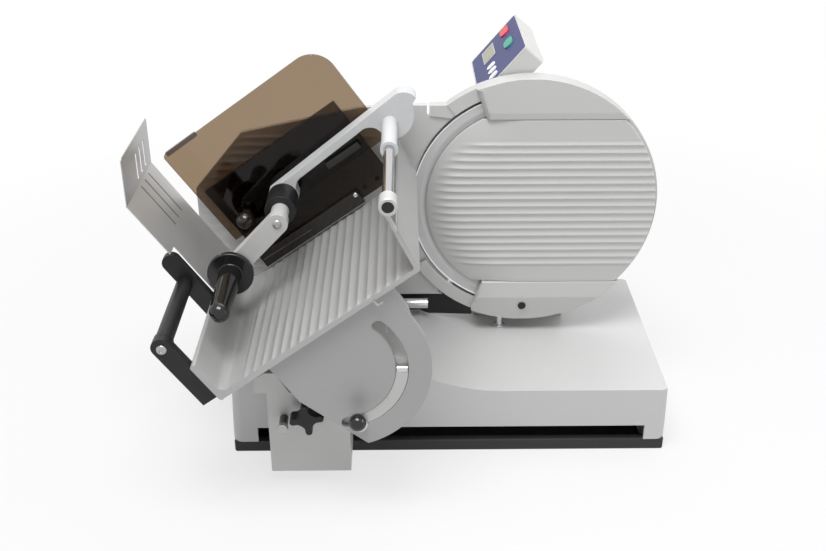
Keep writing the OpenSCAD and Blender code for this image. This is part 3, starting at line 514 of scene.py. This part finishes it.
def sheet_grid(heights, ends, columns, edge):
    """Grid of (x, z), one row per height and closer at the rims, with each point's way in from both ends."""
    left, right = ends(heights)
    span = (right - left)[:, None]
    rim = edge * np.array([0, 0.08, 0.3, 0.6, 1.0])
    rims = np.broadcast_to(rim, (len(heights), len(rim)))
    middle = edge + (span - 2 * edge) * np.linspace(0, 1, columns)[None, 1:-1]
    along = np.concatenate([rims, middle, span - rims[:, ::-1]], axis=1)
    x = left[:, None] + along
    z = np.broadcast_to(heights[:, None], x.shape)
    return x, z, along, span - along


def from_blade(x, y, z):
    """Grid of points that are measured from the blade's centre."""
    return np.stack([x + BLADE.x, y, z + BLADE.z], axis=-1)


def make_blade_cover():
    """Cover disc: a small circle on the left and a large one on the right bound it. Its flutes fade out
    towards the domed left rim and, at the upper left, along a slanted line."""
    r_left, r_right, low, high, edge = 0.145, 0.184, -0.1236, 0.1291, 0.0012
    front, back = -0.002, 0.006
    count, first, last, crest = 17, -0.093, 0.0925, 0.0016
    border, rise = 0.003, 0.030  # the left rim's plain border, and the way over which the flutes rise
    slant_x, slant_z, slope, slant_soft = -0.12, 0.075, 0.25, 0.02
    dome, dome_wide, dome_soft = 0.0060, 0.055, 0.06
    row_count, column_count = 320, 90
    pitch = (last - first) / (count - 1)

    def ends(z):
        return -np.sqrt(r_left ** 2 - z ** 2), np.sqrt(r_right ** 2 - z ** 2)

    x, z, from_left, from_right = sheet_grid(rows(low, high, edge, row_count), ends, column_count, edge)
    step = (z - first) / pitch
    depth = r_left - np.hypot(x, z)
    live = begun(step) * begun(count - 1 - step) * np.where(x < 0, ramp((depth - border) / rise), 1)
    live *= ramp((slant_z - z + slope * (x - slant_x)) / slant_soft + 1)
    sunk = dome * np.clip(1 - depth / dome_wide, 0, 1) ** 2 * ramp(-x / dome_soft)
    inside = np.minimum.reduce([from_left, from_right, z - low, high - z])
    y = front - crest * flute(step) * live + sunk + round_over(inside, edge)
    dress(closed_sheet("blade_cover_ribbed", from_blade(x, y, z), back), "blade_cover")
    screw("cover_screw", centre=(BLADE.x, -0.0048, 0.148), radius=0.0060, height=0.0012,
          body="base", slot="black")


def make_blade_edge():
    """Bright ground edge: a narrow sloping ring on the front of the blade's rim. The bevel is real; its pale
    colour is a painted highlight.
    """
    wide, outer_high, inner_high, face = 0.0016, 0.0012, 0.0008, 0.0083
    inner = BLADE_R - wide
    rim = [(inner, 0), (BLADE_R, 0), (BLADE_R, outer_high), (inner, inner_high)]
    ring = lathe("blade_edge", rim, (BLADE.x, face, BLADE.z), TO_FRONT, steps=180)
    dress(ring, body=BODY["blade"], slot="steel", paint="ground_edge_highlight")


SEGMENT_BACK, SEGMENT_EDGE = 0.006, 0.0010


def segment_grid(low, high, crease, corner):
    """Grid of a segment of the guard's circle: its left end slants from the chord out to the corner."""
    chord = min(abs(low), abs(high))
    at_chord, at_corner = -0.0605, -0.076
    row_count, column_count = 60, 80

    def ends(z):
        reach = np.sqrt(GUARD_R ** 2 - z ** 2)
        slant = np.interp(np.abs(z), [chord, corner], [at_chord, at_corner])
        return np.maximum(slant, -reach), reach

    heights = rows(low, high, SEGMENT_EDGE, row_count, [crease])
    return sheet_grid(heights, ends, column_count, SEGMENT_EDGE)


def make_upper_segment():
    """Flat segment on the guard with a slanted band along its chord and its left end."""
    low, high, corner, front = 0.1295, 0.1876, 0.1715, -0.004
    band, band_fall = 0.010, 0.0016
    end_wide, end_fall, end_top, end_soft = 0.006, 0.0040, 0.176, 0.006
    x, z, from_left, from_right = segment_grid(low, high, low + band, corner)
    to_chord = band_fall * np.clip(1 - (z - low) / band, 0, 1)
    to_end = end_fall * np.clip(1 - from_left / end_wide, 0, 1) * ramp((end_top - z) / end_soft)
    inside = np.minimum.reduce([from_left, from_right, z - low])
    y = front + np.maximum(to_chord, to_end) + round_over(inside, SEGMENT_EDGE)
    dress(closed_sheet("segment_upper", from_blade(x, y, z), SEGMENT_BACK), "guard_segments")


def make_lower_segment():
    """Flat segment on the guard with two facets that lean back from a ridge to its chord and its foot."""
    low, high, corner, front = -0.1876, -0.124, 0.164, -0.005
    facet, chord_fall, foot_fall = 0.025, 0.0030, 0.0042
    end_wide, end_fall, end_low, end_soft = 0.003, 0.0030, -0.168, 0.006
    ridge = high - facet
    x, z, from_left, from_right = segment_grid(low, high, ridge, corner)
    to_chord = chord_fall * np.clip((z - ridge) / facet, 0, 1)
    to_foot = foot_fall * np.clip((ridge - z) / (ridge - low), 0, 1)
    to_end = end_fall * np.clip(1 - from_left / end_wide, 0, 1) * ramp((z - end_low) / end_soft)
    inside = np.minimum.reduce([from_left, from_right, high - z])
    y = front + np.maximum(to_chord + to_foot, to_end) + round_over(inside, SEGMENT_EDGE)
    piece = closed_sheet("segment_lower", from_blade(x, y, z), SEGMENT_BACK)
    dress(piece, body=BODY["guard_segments"], slot=SLOT["guard_segments"])


def make_guard_lip():
    """The guard ring's end in front of the gauge plate: a flat section carried round the blade's centre,
    x = r cos t and z = r sin t."""
    inner, outer, front, back = 0.1695, 0.1878, 0.0058, 0.0086
    start, end = 212, 233  # degrees
    steps = 24
    r, y = np.array(box(inner, outer, front, back)).T
    t = np.radians(np.linspace(start, end, steps))[:, None]
    grid = from_blade(r * np.cos(t), np.broadcast_to(y, (steps, len(y))), r * np.sin(t))
    dress(round_edges(skin("guard_lip", grid, crisp=ROUNDED), BEVEL), body="base", slot="silver")


def make_gauge_plate():
    """Gauge plate: slanted left end, the right end follows the blade's edge and then the guard and its arm;
    flutes up to the plain top and right end."""
    left, bottom, top, edge = -0.360, 0.160, 0.458, 0.001
    front, back = 0.011, 0.019
    left_z = [bottom, 0.200, 0.335, 0.419, 0.455, top]
    left_x = [left + 0.026, left, left, -0.290, -0.123, -0.040]
    r_in, r_out, gap = 0.1668, 0.192, math.radians(49)
    arm_from, arm_z, arm_slope, arm_start, arm_end = 0.1276, 0.1308, 0.12, -0.140, -0.144
    pitch, crest = 0.012, 0.0013
    plain_top, top_soft = 0.420, 0.006
    plain_right, right_soft = 0.075, 0.03
    border, border_soft = 0.004, 0.008
    row_count, column_count = 300, 60

    def ends(z):
        up = z - BLADE.z
        d = np.abs(up)
        on_blade = -np.sqrt(np.maximum(r_in ** 2 - d ** 2, 0))
        on_guard = -np.sqrt(np.maximum(r_out ** 2 - d ** 2, 0))
        beyond_gap = np.where(d < r_out * math.sin(gap), -d / math.tan(gap), on_guard)
        stop = np.where(d < r_in * math.sin(gap), on_blade, beyond_gap)
        under_arm = np.maximum(arm_end, arm_start + (arm_z - up) / arm_slope)
        stop = np.where(up > arm_from, np.minimum(stop, under_arm), stop)
        return np.interp(z, left_z, left_x), BLADE.x + stop

    x, z, from_left, from_right = sheet_grid(rows(bottom, top, edge, row_count), ends, column_count, edge)
    step = (z - bottom - pitch) / pitch
    inside = np.minimum.reduce([from_left, from_right, z - bottom, top - z])
    live = begun(step) * ramp((plain_top - z) / top_soft)
    live *= ramp((inside - border) / border_soft) * ramp((from_right - plain_right) / right_soft)
    y = front - crest * flute(step) * live + round_over(inside, edge)
    dress(closed_sheet("gauge_plate_ribbed", np.stack([x, y, z], axis=-1), back), "gauge_plate")


def make_tray():
    """Tray pan: one closed outline with a fluted floor, carried along Y; the flutes run out at both ends."""
    floor, lip, lip_r, corner_r, chamfer = 0.005, 0.051, 0.004, 0.012, 0.002
    fillet, fillet_in = 0.005, 0.0047  # at the foot of the wall: radius, and its centre from the wall
    count, first, last, crest = 17, 0.038, 0.268, 0.0020
    rib_start, rib_end, rib_points = corner_r + 0.001, TRAY_LENGTH - 0.006, 480
    pitch = (last - first) / (count - 1)
    outside = TRAY_LENGTH + WALL
    wall_out = WALL_HIGH * WALL_LEAN  # how far the wall leans out at its top
    underside = [*arc(-lip_r, -floor, lip_r, 180, 300),
                 (outside - chamfer, -floor), (outside, -floor + chamfer)]
    wall = [(outside + wall_out, WALL_HIGH - 0.001),
            *arc(TRAY_LENGTH + WALL / 2 + wall_out, WALL_HIGH - WALL / 2, WALL / 2, 8, 172, 6),
            *arc(TRAY_LENGTH - fillet_in, fillet, fillet, -8, -90, 7)]
    ribs = np.linspace(rib_end, rib_start, rib_points)
    left_lip = [*arc(corner_r, corner_r, corner_r, 270, 180, 9), *arc(-lip_r, lip - lip_r, lip_r, 0, 180, 10)]
    step = (ribs - first) / pitch
    wave = crest * flute(step) * begun(step) * begun(count - 1 - step)
    before, after = np.array(underside + wall), np.array(left_lip)
    u = np.concatenate([before[:, 0], ribs, after[:, 0]])
    flat = np.concatenate([before[:, 1], np.zeros_like(ribs), after[:, 1]])
    rise = np.concatenate([np.zeros(len(before)), wave, np.zeros(len(after))])
    # sections along Y, and the share of the flutes' height at each
    at_front, at_rear = np.array([0, 0.002, 0.006, 0.010]), np.array([0.010, 0.006, 0])
    y = np.concatenate([TRAY_FRONT + at_front, TRAY_REAR - at_rear])[:, None]
    share = np.array([0, 0.1, 0.8, 1, 1, 0.8, 0])[:, None]
    grid = np.stack(np.broadcast_arrays(u, y, flat + share * rise), axis=-1)
    dress(round_edges(skin("tray_pan", grid, TRAY, crisp=ROUNDED), BEVEL), "tray")


def make_tray_lugs():
    """Lugs for the holder rod: a turned ring on an ear, which goes on from the tray's wall but thinner."""
    bore, radius, chamfer = 0.0072, 0.011, 0.0008
    inset, end_inset, ear_bevel, overlap, long, short = 0.0007, 0.0006, 0.0006, 0.006, 0.012, 0.006
    rod_u, rod_w = TRAY_LENGTH + 0.024, WALL_HIGH + 0.034  # the holder rod's axis
    low, high = WALL_HIGH - overlap, rod_w - overlap
    inner, outer = TRAY_LENGTH + inset, TRAY_LENGTH + WALL - inset
    ear = [(inner + low * WALL_LEAN, low), (outer + low * WALL_LEAN, low),
           (outer + high * WALL_LEAN, high), (inner + high * WALL_LEAN, high)]
    lugs = {"front": (TRAY_FRONT - long, TRAY_FRONT, TRAY_FRONT + long),
            "rear": (TRAY_REAR - short, TRAY_REAR - short, TRAY_REAR)}
    for name, (ring_start, ear_start, end) in lugs.items():
        deep = end - ring_start
        rim = [(bore, 0), (radius - chamfer, 0), (radius, chamfer), (radius, deep - chamfer),
               (radius - chamfer, deep), (bore, deep)]
        ring = lathe("tray_ring_" + name, rim, (rod_u, ring_start, rod_w), TO_BACK, TRAY)
        dress(ring, body="tray", slot="silver")
        piece = prism("tray_ear_" + name, ear, ear_start + end_inset, end - end_inset, TRAY, ROUNDED)
        dress(round_edges(piece, ear_bevel), body="tray", slot="silver")


def make_fence():
    """Bent steel sheet on the tray: a leaning panel with a step at its front and an upright flange with three
    slots; each is a flat plate, and a round fold joins them. Dark strips go on down the panel: painted shade
    in the grooves pressed into it."""
    front, back, low, fold, face, sheet = -0.160, -0.008, 0.026, 0.223, 0.0055, 0.0012
    step_in, step_top = 0.024, 0.140
    first_slot, slot_pitch = 0.465, 0.15  # shares of the fence's depth
    slot_wide, slot_low, slot_high, slot_r = 0.0075, 0.008, 0.044, 0.0015
    groove_in, groove_wide, groove_low, groove_gap = 0.002, 0.003, 0.150, 0.004
    groove_deep, groove_proud = 0.0003, 0.00006
    foot_low, foot_high = 0.022, 0.044
    flange_high, flange_r = 0.065, 0.004
    middle = face - sheet / 2
    across = Matrix(((0, 0, 1, 0), (1, 0, 0, 0), (0, 1, 0, 0), (0, 0, 0, 1)))  # plate x, y, z along Y, Z, X

    lean = [(front + step_in, low), (back, low), (back, fold), (front, fold),
            (front, step_top), (front + step_in, step_top)]
    panel = plate("fence_panel", lean, [], sheet, TRAY @ Matrix.Translation((middle, 0, 0)) @ across)
    dress(round_edges(panel, sheet / 4), "fence")

    starts = front + (back - front) * (first_slot + slot_pitch * np.arange(3))
    slots = [round_box(a, a + slot_wide, slot_low, slot_high, slot_r) for a in starts]
    upright = round_box(front, back, 0, flange_high, flange_r)
    upright[upright[:, 1] < flange_high / 2, 1] = 0  # square lower corners, at the fold
    bend = TRAY @ Vector((middle, 0, fold))
    flange = plate("fence_flange", upright, slots, sheet, Matrix.Translation(bend) @ across)
    dress(round_edges(flange, sheet / 6), body="tray", slot="steel")

    rod = [(0, 0), (sheet / 2, 0), (sheet / 2, back - front), (0, back - front)]
    dress(lathe("fence_fold", rod, (middle, front, fold), TO_BACK, TRAY, 16), body="tray", slot="steel")
    foot = prism("fence_foot", box(0, face, foot_low, foot_high), front + step_in, back, TRAY)
    dress(foot, body="tray", slot="steel")
    # dark strips painted as the shade in the panel's grooves
    groove_shade = box(face - groove_deep, face + groove_proud, groove_low, fold - groove_gap)
    for name, a in zip(("front", "middle", "rear"), starts):
        piece = prism("fence_groove_shade_" + name, groove_shade, a + groove_in, a + groove_in + groove_wide, TRAY)
        dress(piece, body="tray", slot="steel", paint="iron")


def make_stop_bolt():
    """Stop bolt: a six-sided bright head on a dark threaded shank, turned from a zigzag profile."""
    head_r, head_deep, overlap = 0.0074, 0.007, 0.0005
    shank_r, thread_deep, turns = 0.0058, 0.0005, 10
    spot = np.empty(len(NODES["stop_bolt"].data.vertices) * 3)
    NODES["stop_bolt"].data.vertices.foreach_get("co", spot)
    low, high = spot.reshape(-1, 3).min(axis=0), spot.reshape(-1, 3).max(axis=0)
    x, _, z = (low + high) / 2
    hexagon = arc(x, z, head_r, 0, 300, 6)
    head = prism("stop_bolt_head", hexagon, low[1], low[1] + head_deep, crisp=ROUNDED)
    dress(round_edges(head, BEVEL), "stop_bolt")
    start = low[1] + head_deep - overlap
    point = np.arange(2 * turns + 1)
    along = point / point[-1] * (high[1] - start)
    shank = [(0, 0), *zip(shank_r - thread_deep * (point % 2), along), (0, along[-1])]
    piece = lathe("stop_bolt_shank", shank, (x, start, z), TO_BACK)
    dress(piece, body=BODY["stop_bolt"], slot=SLOT["stop_bolt"], paint="thread")


def make_holder_screws():
    """Screw heads on the holder's link, the carriage handle and the grip strip."""
    screw("link_screw", centre=(0.1345, -0.1338, 0.0845), radius=0.0062, height=0.0024,
          body="holder", slot="chrome", place=TRAY, paint="bolt")
    screw("handle_screw", centre=(-0.0235, -0.2968, 0.086), radius=0.0066, height=0.0026,
          body="tray", slot="chrome", place=TRAY, paint="bolt")
    screw("grip_screw", centre=(0.2105, -0.0238, 0.0215), radius=0.0034, height=0.0014,
          body=BODY["grip_strip"], slot="chrome", place=TRAY)


def make_grip_highlight():
    """Paler line along the grip strip, wider at its left end: a painted highlight."""
    left, right, front, back = 0.0425, 0.128, -0.02415, -0.0236
    left_low, left_high, right_low, right_high = 0.0170, 0.0184, 0.0150, 0.0162
    line = [(left, left_low), (right, right_low), (right, right_high), (left, left_high)]
    piece = prism("grip_highlight", line, front, back, TRAY)
    dress(piece, body=BODY["grip_strip"], slot="black", paint="clip")


def make_slot_bar():
    """Short chrome bar across the sector's slot, with chamfered ends."""
    radius, length, in_r, in_h = 0.0047, 0.0140, 0.0007, 0.0006
    left_end = (-0.0738, -0.292, 0.2230)
    bar = [(0, 0), (radius - in_r, 0), (radius, in_h),
           (radius, length - in_h), (radius - in_r, length), (0, length)]
    dress(lathe("slot_bar", bar, left_end, TO_RIGHT), body="carriage", slot="chrome")


def make_tray_hook():
    """Small hook under the tray's front edge: an L of flat stock."""
    left, neck, right = 0.2285, 0.2315, 0.2375
    top, step, foot = -0.0046, -0.0110, -0.0138
    front, back, bevel = -0.3088, -0.3062, 0.0004
    hook = [(left, top), (neck, top), (neck, step), (right, step), (right, foot), (left, foot)]
    piece = prism("tray_hook", hook, front, back, TRAY, ROUNDED)
    dress(round_edges(piece, bevel), body="tray", slot="chrome", paint="bolt")


def make_panel_trim():
    """Rim round the panel's face, a section of four corners carried round a rounded rectangle, and the glass
    of its display."""
    wide, low, high, thick, outer_r, inner_r = 0.098, 0.030, 0.200, 0.002, 0.005, 0.004
    sunk, inner_top = -0.002, 0.0002
    pane_back, pane_front = 0.0006, 0.0011
    outer = round_box(0, wide, low, high, outer_r)
    inner = round_box(thick, wide - thick, low + thick, high - thick, inner_r)
    lines = np.stack([outer, outer, inner, inner])
    heights = np.array([sunk, 0, inner_top, sunk])[:, None, None]
    rim = np.concatenate([lines, np.broadcast_to(heights, (len(lines), len(outer), 1))], axis=-1)
    dress(skin("panel_rim", rim, PANEL, loop=True), body="base", slot="panel_white")
    pane = round_box(x0=0.025, x1=0.045, y0=0.131, y1=0.177, r=0.001)
    glass = np.stack([np.column_stack([pane, np.full(len(pane), h)]) for h in (pane_back, pane_front)])
    dress(skin("display_glass", glass, PANEL), body="base", slot="display", paint="lcd")


def make_gauge_shadow_skirt():
    """Black sheet behind and below the gauge plate: painted shadow in the gap under it. Its lower edge falls
    to the right.
    """
    left, right, left_low, right_low, top = -0.222, 0.040, 0.1285, 0.1195, 0.156
    front, back = 0.0200, 0.0235
    shadow_skirt = [(left, left_low), (right, right_low), (right, top), (left, top)]
    piece = prism("gauge_shadow_skirt", shadow_skirt, front, back, crisp=ROUNDED)
    dress(round_edges(piece, BEVEL), body="base", slot="black")


make_camera()
make_world()
make_floor()
make_lights()
bpy.context.scene.view_settings.view_transform = "Standard"
bpy.context.scene.view_settings.look = "None"

for node, obj in NODES.items():
    cover_with(obj, FINISH.get(node, SLOT[node]))
for node, width in EDGE_RADIUS.items():
    soften(node, width)
make_blade_cover()
make_blade_edge()
make_upper_segment()
make_lower_segment()
make_guard_lip()
make_gauge_plate()
make_tray()
make_tray_lugs()
make_fence()
make_stop_bolt()
make_holder_screws()
make_grip_highlight()
make_slot_bar()
make_tray_hook()
make_panel_trim()
make_gauge_shadow_skirt()
